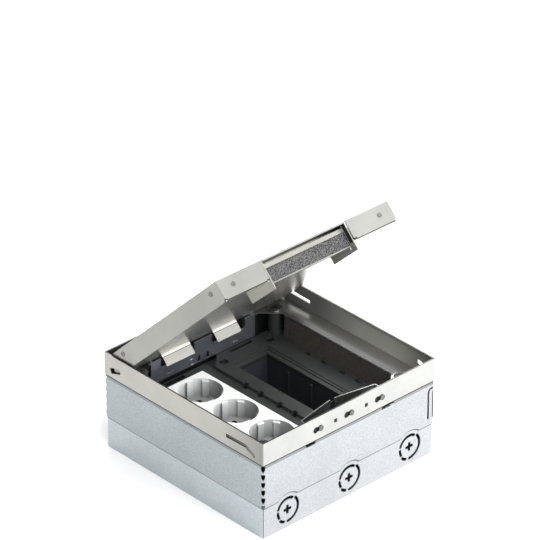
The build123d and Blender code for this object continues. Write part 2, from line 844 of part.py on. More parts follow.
# Cord flap: a flush top plate with two knuckles at its rear edge
with BuildPart() as cord_flap:
    box_between(
        (-flap_half, -flap_front, total_height - flap_sheet),
        (flap_half, -flap_pin_y - flap_tongue, total_height),
    )
    for x in (-flap_half + knuckle_length, flap_half - knuckle_length):
        with BuildSketch(plane_x(x)):
            with Locations((-flap_pin_y, flap_pin_z)):
                Circle(knuckle_r)
            with Locations((-flap_pin_y - knuckle_r / 2, flap_pin_z + knuckle_r / 2)):
                Rectangle(knuckle_r, knuckle_r)
        extrude(amount=knuckle_length / 2, both=True)
    with BuildSketch(plane_x(0)):
        with Locations((-flap_pin_y, flap_pin_z)):
            Circle(flap_pin_r)
    extrude(amount=cheek_half, both=True, mode=Mode.SUBTRACT)
cord_flap.part = swing_open(cord_flap.part)

# Foam frame: bar above the foam, lip below it, a web at each end up to the flap
with BuildPart() as foam_frame:
    box_between((-flap_half, -foam_front, foam_bottom - lip_height), (flap_half, -foam_back, bar_top))
    box_between(
        (-flap_half + foam_side, -foam_front - overcut, foam_bottom),
        (flap_half - foam_side, -foam_back + overcut, foam_top),
        mode=Mode.SUBTRACT,
    )
    for side in (-1, 1):
        low_x = min(side * flap_half, side * (flap_half - foam_side))
        box_between(
            (low_x, -foam_front, bar_top),
            (low_x + foam_side, -foam_back, total_height - flap_sheet),
        )
foam_frame.part = swing_open(foam_frame.part)

# Foam strip that seals round the cords
with BuildPart() as foam_strip:
    box_between(
        (-flap_half + foam_side, -foam_front, foam_bottom),
        (flap_half - foam_side, -foam_back, foam_top),
    )
foam_strip.part = swing_open(foam_strip.part)

# Cord guard bracket: a plate inside the front wall and an arm into the well
with BuildPart() as guard_bracket:
    box_between(
        (stud_x - guard_half, -guard_face, guard_bottom),
        (stud_x + guard_half, -guard_face + guard_sheet, guard_top),
    )
    box_between(
        (stud_x - guard_arm_half, -guard_face, guard_arm_z),
        (stud_x + guard_arm_half, -guard_face + guard_sheet, guard_bottom),
    )
    box_between(
        (stud_x - guard_arm_half, -guard_face, guard_arm_z),
        (stud_x + guard_arm_half, -guard_end + guard_sheet, guard_arm_z + guard_sheet),
    )
    box_between(
        (stud_x - guard_arm_half, -guard_end, guard_arm_z),
        (stud_x + guard_arm_half, -guard_end + guard_sheet, total_height - guard_arm_top_drop),
    )
    with BuildSketch(plane_y(-guard_face)):
        with Locations(*[(keyhole_x + i * keyhole_pitch + lug_offset + lug_shift, keyhole_z) for i in (-1, 0)]):
            Rectangle(lug_width, lug_height)
    extrude(amount=lug_reach)
    with BuildSketch(plane_y(-guard_face)):
        with Locations(*[(stud_x + i * keyhole_pitch, keyhole_z) for i in (-1, 0, 1)]):
            Circle(stud_neck_r)
    extrude(amount=-guard_sheet, mode=Mode.SUBTRACT)

# Two sprung wings fixed to the guard's arm
with BuildPart() as guard_wings:
    wing_y = -guard_end - guard_sheet / 2
    with BuildSketch(Plane.XY.offset(wing_bottom)):
        for side in (-1, 1):
            with BuildLine():
                FilletPolyline(
                    (stud_x + side * wing_gap, wing_y),
                    (stud_x + side * wing_flat, wing_y),
                    (stud_x + side * wing_half, wing_y - wing_rise),
                    (stud_x + side * wing_half, wing_y - wing_rise - wing_return),
                    radius=wing_bend_r,
                )
            trace(line_width=guard_sheet)
    extrude(amount=wing_top - wing_bottom)

# Headed studs that hang the guard in the keyholes
with BuildPart() as guard_studs:
    with BuildSketch(plane_y(-guard_face + guard_sheet)):
        with Locations(*[(stud_x + i * keyhole_pitch, keyhole_z) for i in (-1, 0, 1)]):
            Circle(stud_neck_r)
    extrude(amount=guard_sheet + frame_sheet)
    with BuildSketch(plane_y(-frame_half)):
        with Locations(*[(stud_x + i * keyhole_pitch, keyhole_z) for i in (-1, 0, 1)]):
            Circle(stud_head_r)
    extrude(amount=stud_head_height)

# Device insert: plate in two levels, posts at the corners and low walls round the well
with BuildPart() as device_insert:
    box_between((-insert_half_x, -insert_half_y, insert_bottom), (insert_half_x, insert_half_y, insert_low_top))
    with BuildSketch(Plane.XY.offset(insert_low_top)):
        with BuildLine():
            Polyline(
                (step_x, -insert_half_y + step_chamfer),
                (step_x + step_chamfer, -insert_half_y),
                (insert_half_x, -insert_half_y),
                (insert_half_x, insert_half_y),
                (step_x + step_chamfer, insert_half_y),
                (step_x, insert_half_y - step_chamfer),
                close=True,
            )
        make_face()
    extrude(amount=insert_top - insert_low_top)
    # Stepped rebate round the data bay
    for left, right, half_y, depth in bay_steps:
        box_between(
            (left, -half_y, insert_top - depth),
            (right, half_y, insert_top + overcut),
            mode=Mode.SUBTRACT,
        )
    for side in (-1, 1):
        low_x = min(side * insert_wall_x, side * (insert_wall_x + insert_wall))
        box_between(
            (low_x, -insert_wall_half, insert_bottom),
            (low_x + insert_wall, insert_wall_half, insert_wall_top),
        )
    box_between(
        (-front_wall_half, -insert_half_y, insert_bottom),
        (front_wall_half, -insert_half_y + insert_wall, front_wall_top),
    )
    for px in (-post_x, post_x):
        for py in (-post_y, post_y):
            rod((px, py), post_r, box_sheet, insert_wall_top)
    for x in insert_screw_x:
        for y in (-insert_screw_y, insert_screw_y):
            rod((x, y), insert_column_r, box_sheet, insert_bottom)
    # Openings for the data bay and the socket strip
    box_between(
        (bay_left, -bay_half_y, insert_bottom - overcut),
        (bay_right, bay_half_y, insert_top + overcut),
        mode=Mode.SUBTRACT,
    )
    box_between(
        (strip_x - module / 2, -strip_length / 2, insert_bottom - overcut),
        (strip_x + module / 2, strip_length / 2, insert_top + overcut),
        mode=Mode.SUBTRACT,
    )
    # Post bores, with a wider mouth for the brass sleeves
    for px in (-post_x, post_x):
        for py in (-post_y, post_y):
            rod((px, py), level_hole_r, box_sheet, insert_wall_top + overcut, mode=Mode.SUBTRACT)
            bore_bottom = insert_wall_top - brass_length
            rod((px, py), sleeve_bore_r, bore_bottom, insert_wall_top + overcut, mode=Mode.SUBTRACT)
    # Screw recesses, latch notches, small hole pairs and rear pocket
    for x in insert_screw_x:
        for y in (-insert_screw_y, insert_screw_y):
            seat_z = insert_top - insert_screw_depth
            rod((x, y), insert_screw_r, seat_z, insert_top + overcut, mode=Mode.SUBTRACT)
            rod((x, y), screw_shank_r, box_sheet, insert_top, mode=Mode.SUBTRACT)
    for y in (-latch_notch_y[0], -latch_notch_y[1], latch_notch_y[1], latch_notch_y[0]):
        half = latch_notch / 2
        box_between(
            (step_x - half, y - half, insert_bottom - overcut),
            (step_x + half, y + half, insert_top + overcut),
            mode=Mode.SUBTRACT,
        )
        box_between(
            (edge_notch_x - edge_notch_width / 2, y - edge_notch_length / 2, insert_top - edge_notch_depth),
            (edge_notch_x + edge_notch_width / 2, y + edge_notch_length / 2, insert_top + overcut),
            mode=Mode.SUBTRACT,
        )
    for y in (pair_y[0], pair_y[1], -pair_y[0]):
        for shift in (-pair_gap / 2, pair_gap / 2):
            rod((pair_x, y + shift), pair_r, insert_top - pair_depth, insert_top + overcut, mode=Mode.SUBTRACT)
    for x in (back_slot_x, -back_slot_x):
        slot_back = insert_half_y - back_slot_rim
        box_between(
            (x - back_slot_length / 2, slot_back - back_slot_width, insert_bottom - overcut),
            (x + back_slot_length / 2, slot_back, insert_top + overcut),
            mode=Mode.SUBTRACT,
        )

# Screws that hold the insert to the base box
with BuildPart() as insert_screws:
    for x in insert_screw_x:
        for y in (-insert_screw_y, insert_screw_y):
            head_bottom = insert_top - insert_screw_depth
            rod((x, y), screw_shank_r, box_sheet, head_bottom)
            rod((x, y), screw_head_r, head_bottom, head_bottom + screw_head_height)

# Brass sleeves in the posts
with BuildPart() as post_sleeves:
    for px in (-post_x, post_x):
        for py in (-post_y, post_y):
            rod((px, py), sleeve_bore_r, insert_wall_top - brass_length, insert_wall_top)
            rod((px, py), level_hole_r, insert_wall_top - brass_length, insert_wall_top, mode=Mode.SUBTRACT)

# Collars on the corner ledges, round the levelling screw heads
with BuildPart() as level_collars:
    for px in (-post_x, post_x):
        for py in (-post_y, post_y):
            rod((px, py), collar_r, ledge_top, ledge_top + collar_sheet)
            rod((px, py), collar_rim_r, ledge_top + collar_sheet, ledge_top + collar_sheet + collar_rim_height)
            rod((px, py), collar_inner_r, ledge_top + collar_sheet, total_height, mode=Mode.SUBTRACT)
            rod((px, py), level_hole_r, frame_bottom, total_height, mode=Mode.SUBTRACT)

# Tray below the data bay opening
with BuildPart() as bay_tray:
    low = (bay_left - tray_wall, -bay_half_y - tray_wall, tray_floor)
    high = (bay_right + tray_wall, bay_half_y + tray_wall, insert_bottom)
    box_between(low, high)
    box_between(
        (bay_left, -bay_half_y, tray_floor + tray_wall),
        (bay_right, bay_half_y, insert_bottom + overcut),
        mode=Mode.SUBTRACT,
    )
    for y in (-bay_half_y / 2, 0, bay_half_y / 2):
        for x in (bay_left, bay_right - tray_rib_depth):
            box_between(
                (x, y - tray_rib / 2, tray_floor),
                (x + tray_rib_depth, y + tray_rib / 2, insert_bottom - tray_rib),
            )

# Carrier ring under the socket fronts
with BuildPart() as strip_carrier:
    with BuildSketch(Plane.XY.offset(insert_low_top)):
        with Locations((strip_x, 0)):
            Rectangle(module + 2 * carrier_flange, strip_length + 2 * carrier_flange)
            Rectangle(body_width + 2 * carrier_gap, strip_length - 2 * carrier_end, mode=Mode.SUBTRACT)
    extrude(amount=strip_skirt - insert_low_top)

# Socket fronts: round cups turned in their squares, with guide ribs and clip pockets
module_ys = [(i - (module_count - 1) / 2) * module for i in range(module_count)]
for number, y in enumerate(module_ys, start=1):
    cup = Plane(origin=(strip_x, y, cup_floor), x_dir=(math.cos(math.radians(socket_turn)),
                math.sin(math.radians(socket_turn)), 0), z_dir=(0, 0, 1))
    with BuildPart() as socket_front:
        with BuildSketch(Plane.XY.offset(strip_skirt)):
            with Locations((strip_x, y)):
                Rectangle(module - module_gap, module - module_gap)
        extrude(amount=strip_top - strip_skirt)
        with BuildSketch(Plane.XY.offset(body_bottom)):
            with Locations((strip_x, y)):
                Rectangle(body_width, body_width)
        extrude(amount=strip_skirt - body_bottom)
        with BuildSketch(cup):
            Circle(cup_r)
        extrude(amount=cup_depth + overcut, mode=Mode.SUBTRACT)
        # Guide ribs in line with the pins
        with BuildSketch(cup):
            Circle(cup_r)
            Circle(cup_r - rib_reach, mode=Mode.SUBTRACT)
            for shift in (-1, 1):
                with Locations((0, shift * (rib_gap + rib_side) / 2)):
                    Rectangle(3 * cup_r, rib_side, mode=Mode.PRIVATE)
            with BuildSketch(cup, mode=Mode.INTERSECT):
                for shift in (-1, 1):
                    with Locations((0, shift * (rib_gap + rib_side) / 2)):
                        Rectangle(3 * cup_r, rib_side)
        extrude(amount=cup_depth - rib_drop)
        # Pockets for the earth clips
        with BuildSketch(cup):
            for side in (-1, 1):
                with Locations((0, side * (cup_r + clip_pocket_depth / 2 - overcut))):
                    Rectangle(clip_pocket_width, clip_pocket_depth + 2 * overcut)
        extrude(amount=cup_depth - clip_pocket_drop, mode=Mode.SUBTRACT)
        # Pin holes and the cavities of the pin sleeves
        with BuildSketch(cup):
            with Locations((-pin_hole_pitch / 2, 0), (pin_hole_pitch / 2, 0)):
                Circle(pin_hole_r)
        extrude(amount=-pin_hole_depth, mode=Mode.SUBTRACT)
        with BuildSketch(cup.offset(-pin_hole_depth)):
            with Locations((-pin_hole_pitch / 2, 0), (pin_hole_pitch / 2, 0)):
                Circle(contact_r + contact_gap)
        extrude(amount=-(cup_floor - pin_hole_depth - body_bottom), mode=Mode.SUBTRACT)
    finish(socket_front, "socket_front_" + str(number))

# Earth clips, pin sleeves and terminal blocks of all three sockets
with BuildPart() as earth_clips:
    for y in module_ys:
        for side in (-1, 1):
            angle = math.radians(socket_turn + side * 90)
            out = (math.cos(angle), math.sin(angle), 0)
            along = (-out[1], out[0], 0)
            clip_plane = Plane(origin=(strip_x, y, cup_floor), x_dir=out, z_dir=(-along[0], -along[1], 0))
            with BuildSketch(clip_plane):
                with BuildLine():
                    Polyline(*[(cup_r + out_by, height) for out_by, height in clip_path])
                trace(line_width=clip_sheet)
            extrude(amount=clip_width / 2, both=True)
with BuildPart() as pin_sleeves:
    turn = math.radians(socket_turn)
    for y in module_ys:
        for side in (-1, 1):
            shift = side * pin_hole_pitch / 2
            centre = (strip_x + shift * math.cos(turn), y + shift * math.sin(turn))
            contact_top = cup_floor - pin_hole_depth
            rod(centre, contact_r, contact_top - contact_length, contact_top)
            rod(centre, contact_bore_r, contact_top - contact_length - overcut, cup_floor, mode=Mode.SUBTRACT)
with BuildPart() as terminal_blocks:
    for y in module_ys:
        with Locations((strip_x, y, body_bottom)):
            Box(*terminal_size, align=(Align.CENTER, Align.CENTER, Align.MAX))
        with BuildSketch(Plane.XY.offset(body_bottom - terminal_size[2])):
            with Locations((strip_x, y)):
                with GridLocations(terminal_pitch, 1, 3, 1):
                    Circle(terminal_hole_r)
        extrude(amount=terminal_hole_depth, mode=Mode.SUBTRACT)

# Earthing stud on the floor of the base box, and its nut
with BuildPart() as earth_stud:
    rod((earth_x, earth_y), earth_r, box_sheet, box_sheet + earth_height)
    rod((earth_x, earth_y), earth_foot_r, box_sheet, box_sheet + earth_foot_height)
with BuildPart() as earth_nut:
    with BuildSketch(Plane.XY.offset(box_sheet + earth_foot_height)):
        with Locations((earth_x, earth_y)):
            RegularPolygon(earth_nut_r, 6, major_radius=False)
            Circle(earth_r, mode=Mode.SUBTRACT)
    extrude(amount=earth_nut_height)

# Levelling screws, one at each corner, captive in the ledge by a collar below it
for number, (sx, sy) in enumerate(((-1, -1), (1, -1), (1, 1), (-1, 1)), start=1):
    centre = (sx * post_x, sy * post_y)
    head_bottom = ledge_top + collar_sheet
    with BuildPart() as levelling_screw:
        rod(centre, level_screw_r, level_screw_bottom, head_bottom)
        rod(centre, level_head_r, head_bottom, head_bottom + level_head_height)
        rod(centre, clip_r, frame_bottom - clip_gap - clip_height, frame_bottom - clip_gap)
        with BuildSketch(Plane.XY.offset(head_bottom + level_head_height)):
            with Locations(centre):
                RegularPolygon(level_hex / 2, 6, major_radius=False)
        extrude(amount=-level_socket_depth, mode=Mode.SUBTRACT)
    finish(levelling_screw, "levelling_screw_" + str(number))

finish(base_box, "base_box")
finish(height_sleeve, "height_sleeve")
finish(cassette_frame, "cassette_frame")
finish(hinge_plate, "hinge_plate")
finish(hinge_rivets, "hinge_rivets")
finish(hinge_studs, "hinge_studs")
finish(lid_tray, "lid_tray")
finish(lid_base_plate, "lid_base_plate")
finish(lid_brackets, "lid_brackets")
finish(hinge_doublers, "hinge_doublers")
finish(lid_rivets, "lid_rivets")
finish(outlet_bracket, "outlet_bracket")
finish(flap_pin, "flap_pin")
finish(cord_flap, "cord_flap")
finish(foam_frame, "foam_frame")
finish(foam_strip, "foam_strip")
finish(guard_bracket, "guard_bracket")
finish(guard_wings, "guard_wings")
finish(guard_studs, "guard_studs")
finish(device_insert, "device_insert")
finish(insert_screws, "insert_screws")
finish(post_sleeves, "post_sleeves")
finish(level_collars, "level_collars")
finish(bay_tray, "bay_tray")
finish(strip_carrier, "strip_carrier")
finish(earth_clips, "earth_clips")
finish(pin_sleeves, "pin_sleeves")
finish(terminal_blocks, "terminal_blocks")
finish(earth_stud, "earth_stud")
finish(earth_nut, "earth_nut")
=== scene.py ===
import json
import math

import bmesh
import bpy
from mathutils import Matrix, Vector, noise


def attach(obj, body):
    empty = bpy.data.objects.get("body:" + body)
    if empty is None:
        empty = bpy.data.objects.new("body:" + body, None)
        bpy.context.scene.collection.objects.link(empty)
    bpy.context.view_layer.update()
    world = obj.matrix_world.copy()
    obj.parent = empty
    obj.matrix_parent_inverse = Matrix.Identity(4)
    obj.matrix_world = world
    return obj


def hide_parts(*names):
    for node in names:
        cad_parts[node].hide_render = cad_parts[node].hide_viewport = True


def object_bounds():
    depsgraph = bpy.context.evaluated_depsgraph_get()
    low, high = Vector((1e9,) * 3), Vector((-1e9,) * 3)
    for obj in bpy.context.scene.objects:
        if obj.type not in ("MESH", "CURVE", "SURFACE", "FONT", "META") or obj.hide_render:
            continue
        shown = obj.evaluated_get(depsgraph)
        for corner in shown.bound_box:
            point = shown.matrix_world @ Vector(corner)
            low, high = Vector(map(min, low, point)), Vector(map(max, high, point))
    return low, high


MM = 0.001
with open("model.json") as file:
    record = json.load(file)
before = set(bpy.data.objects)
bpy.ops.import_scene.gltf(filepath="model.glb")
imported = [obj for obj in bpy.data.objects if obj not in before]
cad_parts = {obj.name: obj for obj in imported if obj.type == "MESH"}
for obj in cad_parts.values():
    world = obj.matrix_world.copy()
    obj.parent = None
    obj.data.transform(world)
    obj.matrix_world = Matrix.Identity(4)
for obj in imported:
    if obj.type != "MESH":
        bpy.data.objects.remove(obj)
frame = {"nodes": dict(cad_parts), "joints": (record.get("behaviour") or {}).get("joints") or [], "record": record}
cad_low, cad_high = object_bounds()
nodes = frame["nodes"]
joints = {joint["name"]: joint for joint in frame["joints"]}

# Camera of the photograph, found from the box's corners
VIEW_AZIMUTH = math.radians(-42.83)
VIEW_ELEVATION = math.radians(30.57)
VIEW_DISTANCE = 4.0
VIEW_SHIFT_RIGHT = 0.00039
VIEW_SHIFT_UP = 0.15413
VIEW_NEAREST = 0.1
VIEW_FARTHEST = 60.0
PHOTO_PIXELS = 540
PHOTO_FOCAL_PIXELS = 4639
SENSOR_MM = 36.0

# Closed-lid coordinates: the lid is modelled open by this turn about its hinge
lid_hinge = Vector(joints["lid_hinge"]["pos_m"])
lid_open = math.radians(-joints["lid_hinge"]["range_deg"][0])
lid_turn = Matrix.Translation(lid_hinge) @ Matrix.Rotation(-lid_open, 4, "X") @ Matrix.Translation(-lid_hinge)

# Directions that faces look in, the lid's own ones with the lid at its open rest
LEFT = (-1.0, 0.0, 0.0)
FRONT = (0.0, -1.0, 0.0)
UP = (0.0, 0.0, 1.0)
LID_UP = (0.0, math.sin(lid_open), math.cos(lid_open))
LID_DOWN = (0.0, -math.sin(lid_open), -math.cos(lid_open))
LID_FRONT = (0.0, -math.cos(lid_open), math.sin(lid_open))
# Direction of the cup walls that get painted shade, turned away from the light
AWAY_FROM_LIGHT = (-0.73, 0.68, 0.0)
SQUARE_ON = (0.8, 0.95)


def span(start, end):
    """Start and end of a change along an axis, given in millimetres."""
    return start * MM, end * MM


# Frame: distances from the middle of the box, then places along the axes
FRAME_INSIDE = span(98.6, 98.8)
FRAME_CUT_STARTS = span(98.85, 98.95)
FRAME_CUT_ENDS = span(99.5, 99.7)
FRAME_LIP = span(80.5, 83.5)
FRAME_TO_HINGE = span(-10.0, 46.0)
FRAME_TO_RIM = span(91.0, 94.0)
FRAME_CORNER_X = span(-66.0, -60.0)
FRAME_CORNER_Y = span(60.0, 66.0)
FRAME_NEAR_END = span(-98.0, -50.0)
# Strengths of the painted shade near the rim and on the ledges' lips
RIM_SHARE = 0.8
LIP_SHARE = 0.8
INSIDE_EXTRA_ROUGHNESS = 0.12
# Painted reflection: cooler tint laid on the frame's outer front for the white light it reflects
FRONT_REFLECTION_TINT = (1.0, 1.04, 1.09)
SHADED_TINT = (0.49, 0.5, 0.54)

# Lower box
KNOCKOUT_PITCH = 71.2 * MM
KNOCKOUT_Z = 17.9 * MM
BUMP_RADIUS = 17.0 * MM
SLEEVE_BOTTOM = 30.7 * MM
SEAM_STARTS = span(-2.0, -1.6)
SEAM_ENDS = span(0.5, 1.2)
BOX_INSIDE = span(98.3, 98.7)
# Painted shade tint for faces of the box that are not turned left
BOX_SHADE_TINT = (0.8, 0.75, 0.75)

# Sleeve: its front plane, the hem at its top and the two slots in its front
SLEEVE_FRONT = span(-99.4, -99.2)
HEM_STARTS = span(70.1, 70.3)
HEM_LOW_LINE = span(70.5, 70.6)
HEM_TOP_LINE = span(72.3, 72.5)
SLOT_SHIFT = -1.6 * MM
SLOT_PITCH = 43.7 * MM
SLOT_END = span(4.8, 5.0)
SLOT_BOTTOM = span(69.9, 70.1)
# Strengths of the painted shade at the hem
HEM_SHARE = 0.2
HEM_FRONT_SHARE = 0.2
HEM_LOW_LINE_SHARE = 0.6
HEM_TOP_LINE_SHARE = 0.9
# Painted reflection tint for the sleeve's front
SLEEVE_FRONT_REFLECTION_TINT = (1.0, 0.955, 0.945)

# Lid: heights above its hinge, and places behind it, all with the lid shut
TAB_ROOT = -13.8 * MM
TAB_START = span(0.0, 0.2)
TAB_BEND_STARTS = span(1.3, 1.5)
TAB_BEND_ENDS = span(2.1, 2.3)
TAB_SHADED = span(2.1, 2.4)
TAB_FLANGE = span(6.4, 6.6)
TAB_EXTRA_ROUGHNESS = 0.25
LID_JOINT = span(-12.9, -12.7)
OUTLET_ABOVE_LID = span(-14.3, -13.3)
OUTLET_RIGHT = span(0.0, 1.0)
FLAP_FOLD = span(-169.0, -167.0)

# Insert and sockets
CUP_DEPTH = span(38.0, 55.1)
CUP_RIM = span(54.9, 55.4)
CUP_FLOOR = span(37.8, 37.95)
PLATE_LOW = 48.1 * MM
PLATE_STEP = 1.2 * MM
PLATE_STEP_X = span(0.65, 0.7)
RECESS_DEPTH = span(0.0, 0.8)
PLATE_BAY_SIDE = span(0.0, 70.0)
INSERT_OUTSIDE = span(83.2, 83.4)
SIDE_WALL_X = span(78.7, 78.9)
SIDE_WALL_END = span(68.0, 68.5)
# Left end of the hinge plate that gets a painted highlight
HINGE_HIGHLIGHT_END = span(-84.0, -62.0)

# Sheet metal: stretch and relief of its handling marks, and how much finer its second crystals are
MARKS_STRETCH = (1.0, 1.0, 3.0)
MARKS_RELIEF = 0.35
FINE_CRYSTALS = 2.3

# Sockets of the mix node when it mixes colours
MIX_FIRST = 6
MIX_SECOND = 7
MIX_RESULT = 2


def linear(red, green, blue):
    """Linear colour of an 8-bit sRGB colour."""
    values = [channel / 255 for channel in (red, green, blue)]
    return tuple(v / 12.92 if v <= 0.04045 else ((v + 0.055) / 1.055) ** 2.4 for v in values) + (1.0,)


class Look:
    """A procedural material, built node by node around one Principled shader."""

    def __init__(self, name, roughness=0.5, metallic=0.0):
        self.material = bpy.data.materials.new(name)
        self.material.use_nodes = True
        self.tree = self.material.node_tree
        self.shader = self.tree.nodes["Principled BSDF"]
        self.shader.inputs["Roughness"].default_value = roughness
        self.shader.inputs["Metallic"].default_value = metallic
        coordinates = self.tree.nodes.new("ShaderNodeTexCoord")
        self.place = coordinates.outputs["Object"]
        self.normal = coordinates.outputs["Normal"]
        self.bump_out = None
        self.extra_roughness = None

    def link(self, source, target):
        self.tree.links.new(source, target)

    def feed(self, socket, value):
        """Link an output to a socket, or set the socket to a number or colour."""
        if hasattr(value, "is_linked"):
            self.link(value, socket)
        else:
            socket.default_value = value

    def scaled(self, scale):
        """Object coordinates, stretched by a scale per axis."""
        node = self.tree.nodes.new("ShaderNodeMapping")
        node.inputs["Scale"].default_value = scale
        self.link(self.place, node.inputs["Vector"])
        return node.outputs["Vector"]

    def axes(self):
        """The three object coordinates, in metres."""
        node = self.tree.nodes.new("ShaderNodeSeparateXYZ")
        self.link(self.place, node.inputs["Vector"])
        return node.outputs["X"], node.outputs["Y"], node.outputs["Z"]

    def facing(self, direction):
        """How far the surface faces a direction of the piece, from 0 to 1."""
        node = self.tree.nodes.new("ShaderNodeVectorMath")
        node.operation = "DOT_PRODUCT"
        node.inputs[1].default_value = Vector(direction).normalized()
        self.link(self.normal, node.inputs[0])
        return self.calc("MAXIMUM", node.outputs["Value"], 0.0)

    def square_on(self, direction):
        """1 on faces that look straight in a direction of the piece, 0 on the others."""
        return self.past(self.facing(direction), SQUARE_ON)

    def noise(self, scale, detail=3.0, roughness=0.55, place=None):
        node = self.tree.nodes.new("ShaderNodeTexNoise")
        node.inputs["Scale"].default_value = scale
        node.inputs["Detail"].default_value = detail
        node.inputs["Roughness"].default_value = roughness
        self.link(place or self.place, node.inputs["Vector"])
        return node.outputs["Fac"]

    def cells(self, scale):
        """Voronoi cells of this many to the metre."""
        node = self.tree.nodes.new("ShaderNodeTexVoronoi")
        node.inputs["Scale"].default_value = scale
        self.link(self.place, node.inputs["Vector"])
        return node

    def crystals(self, scale):
        """One grey for each cell."""
        split = self.tree.nodes.new("ShaderNodeSeparateColor")
        self.link(self.cells(scale).outputs["Color"], split.inputs["Color"])
        return split.outputs["Red"]

    def calc(self, operation, first, second=0.0):
        node = self.tree.nodes.new("ShaderNodeMath")
        node.operation = operation
        self.feed(node.inputs[0], first)
        self.feed(node.inputs[1], second)
        return node.outputs["Value"]

    def times(self, first, *others):
        """The product of all the values."""
        for other in others:
            first = self.calc("MULTIPLY", first, other)
        return first

    def past(self, value, ends):
        """0 before a span, 1 past it, straight between its ends."""
        node = self.tree.nodes.new("ShaderNodeMapRange")
        node.inputs["From Min"].default_value = ends[0]
        node.inputs["From Max"].default_value = ends[1]
        self.link(value, node.inputs["Value"])
        return node.outputs["Result"]

    def before(self, value, ends):
        """1 before a span, 0 past it."""
        return self.calc("SUBTRACT", 1.0, self.past(value, ends))

    def ramp(self, value, dark, light, start=0.0, end=1.0):
        """Dark where the value is below start, light where it is above end."""
        node = self.tree.nodes.new("ShaderNodeValToRGB")
        stops = ((start, dark), (end, light))
        for element, (position, colour) in zip(node.color_ramp.elements, stops):
            element.position = position
            element.color = colour
        self.link(value, node.inputs["Fac"])
        return node.outputs["Color"]

    def mix(self, first, second, factor, blend="MIX"):
        """The first colour at factor 0, the second at factor 1."""
        node = self.tree.nodes.new("ShaderNodeMix")
        node.data_type = "RGBA"
        node.blend_type = blend
        self.feed(node.inputs["Factor"], factor)
        self.feed(node.inputs[MIX_FIRST], first)
        self.feed(node.inputs[MIX_SECOND], second)
        return node.outputs[MIX_RESULT]

    def paint(self, tone, mask, colour, amount=None):
        """The tone with another colour laid over it where the mask is 1, in full or by an amount."""
        if amount is not None:
            mask = self.times(mask, amount)
        return self.mix(tone, colour, factor=mask)

    def tinted(self, tone, tint):
        """The tone with its red, green and blue multiplied."""
        return self.mix(tone, (*tint, 1.0), factor=1.0, blend="MULTIPLY")

    def colour(self, tone, shade=None):
        """Give the surface its colour, changed by a piece's own shade."""
        if shade:
            tone = shade(self, tone)
        self.link(tone, self.shader.inputs["Base Color"])

    def roughness(self, value, low, high):
        """Roughness from low to high by a value of 0 to 1, with a shade's extra roughness added."""
        node = self.tree.nodes.new("ShaderNodeMapRange")
        node.inputs["To Min"].default_value = low
        node.inputs["To Max"].default_value = high
        self.link(value, node.inputs["Value"])
        rough = node.outputs["Result"]
        if self.extra_roughness:
            rough = self.calc("ADD", rough, self.extra_roughness)
        self.link(rough, self.shader.inputs["Roughness"])

    def bump(self, height, depth, strength):
        """Add a bump of this depth in metres on top of the ones before."""
        node = self.tree.nodes.new("ShaderNodeBump")
        node.inputs["Strength"].default_value = strength
        node.inputs["Distance"].default_value = depth
        self.link(height, node.inputs["Height"])
        if self.bump_out:
            self.link(self.bump_out, node.inputs["Normal"])
        self.bump_out = node.outputs["Normal"]
        self.link(self.bump_out, self.shader.inputs["Normal"])


def sheet_steel(name, light, dark, metallic, rough, grain, shade=None, relief=0.35):
    """Brushed sheet: fine lines along the sheet, broad soft variation and faint handling marks."""
    look = Look(name, metallic=metallic)
    lines = look.noise(scale=1.0, detail=4.0, roughness=0.6, place=look.scaled(grain))
    cloud = look.noise(scale=28.0)
    marks = look.noise(scale=420.0, detail=2.0, roughness=0.5, place=look.scaled(MARKS_STRETCH))
    cloudy = look.ramp(cloud, dark, light, start=0.35, end=0.65)
    lined = look.ramp(lines, dark, light, start=0.3, end=0.7)
    look.colour(look.mix(cloudy, lined, factor=0.35), shade)
    look.roughness(lines, *rough)
    look.bump(lines, depth=0.01 * MM, strength=relief)
    look.bump(marks, depth=0.01 * MM, strength=MARKS_RELIEF * relief)
    return look.material


def galvanised(name, light, dark, rough, shade=None, spangle=650.0):
    """Galvanised sheet: a fine spangle of crystals, each lighter, darker or glossier than the next."""
    look = Look(name, metallic=0.8)
    wobble = look.noise(scale=300.0, detail=2.0)
    speck = look.noise(scale=950.0, detail=2.0, roughness=0.6)
    crystal = look.crystals(spangle)
    fine = look.crystals(FINE_CRYSTALS * spangle)
    cloud = look.noise(scale=22.0, detail=4.0)
    tone = look.mix(look.ramp(crystal, dark, light), look.ramp(fine, dark, light), factor=0.4)
    tone = look.mix(tone, look.ramp(cloud, dark, light, start=0.3, end=0.7), factor=0.25)
    tone = look.mix(tone, look.ramp(speck, dark, light, start=0.4, end=0.6), factor=0.35)
    look.colour(tone, shade)
    look.roughness(crystal, *rough)
    look.bump(wobble, depth=0.02 * MM, strength=0.25)
    look.bump(fine, depth=0.01 * MM, strength=0.2)
    return look.material


def plated(name, light, dark, rough, metallic=1.0, shade=None):
    """Plated small part: even metal with fine turning marks and a faint stain."""
    look = Look(name, metallic=metallic)
    stain = look.noise(scale=260.0)
    turned = look.noise(scale=1400.0, detail=2.0)
    look.colour(look.ramp(stain, dark, light, start=0.35, end=0.65), shade)
    look.roughness(turned, *rough)
    look.bump(turned, depth=0.01 * MM, strength=0.2)
    return look.material


def moulding(name, light, dark, rough, shade, grain=1600.0, depth=0.03 * MM):
    """Moulded plastic: eroded texture, slight flow shading and duller patches."""
    look = Look(name)
    texture = look.noise(scale=grain)
    cloud = look.noise(scale=24.0)
    look.colour(look.ramp(cloud, dark, light, start=0.3, end=0.7), shade)
    look.roughness(look.mix(cloud, texture, factor=0.5), *rough)
    look.bump(texture, depth=depth, strength=0.4)
    return look.material


